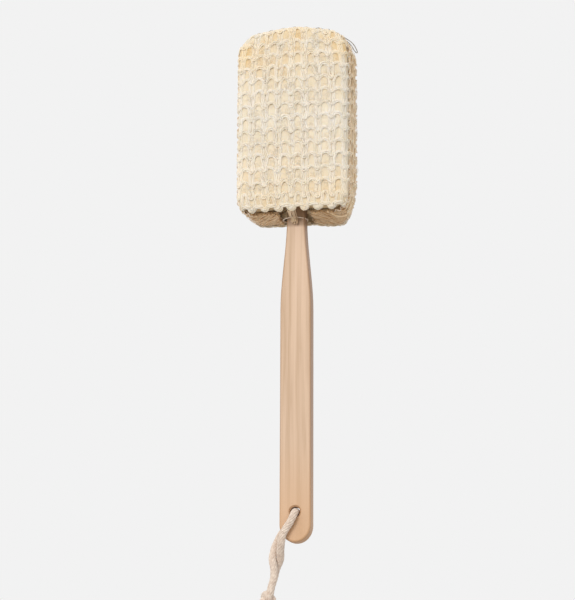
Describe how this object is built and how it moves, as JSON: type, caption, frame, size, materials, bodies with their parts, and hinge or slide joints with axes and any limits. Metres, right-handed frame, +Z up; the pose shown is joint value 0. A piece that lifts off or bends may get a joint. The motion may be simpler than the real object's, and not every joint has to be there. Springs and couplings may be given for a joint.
{
  "type": "loofah back scrubber",
  "caption": "Long flat wooden handle with a padded scrubbing head in a knitted fibre cover and a hanging rope loop at the handle's end.",
  "frame": {"origin": "middle of the grip, in the handle's own mid-plane, where a hand holds it", "axes": "+Z up the handle towards the head, +Y from the scrubbing face to the back, +X to the right seen from the scrubbing face"},
  "size_m": [0.0839, 0.046, 0.4455],
  "materials": {
    "wood": "satin",
    "foam": "matte",
    "sisal_knit": "matte",
    "sewing_thread": "matte",
    "nylon_thread": "satin",
    "cotton_rope": "matte"
  },
  "bodies": {
    "scrubber": {"handle": "wood", "foam_front": "foam", "foam_back": "foam", "foam_rim": "foam", "cover_front": "sisal_knit", "cover_back": "sisal_knit", "cover_band": "sisal_knit", "cover_bottom_left": "sisal_knit", "cover_bottom_right": "sisal_knit", "seam_thread_front": "sewing_thread", "seam_thread_back": "sewing_thread", "neck_thread": "sewing_thread", "thread_loop": "nylon_thread"},
    "hanging_loop": {"loop_strand_front": "cotton_rope", "loop_strand_back": "cotton_rope", "loop_knot": "cotton_rope", "loop_tail_front": "cotton_rope", "loop_tail_back": "cotton_rope"}
  },
  "joints": [
    {"name": "loop_swing", "type": "hinge", "parent": "scrubber", "child": "hanging_loop", "pos_m": [0, 0, -0.08], "axis": [0, 1, 0], "range_deg": [-150, 110]}
  ]
}
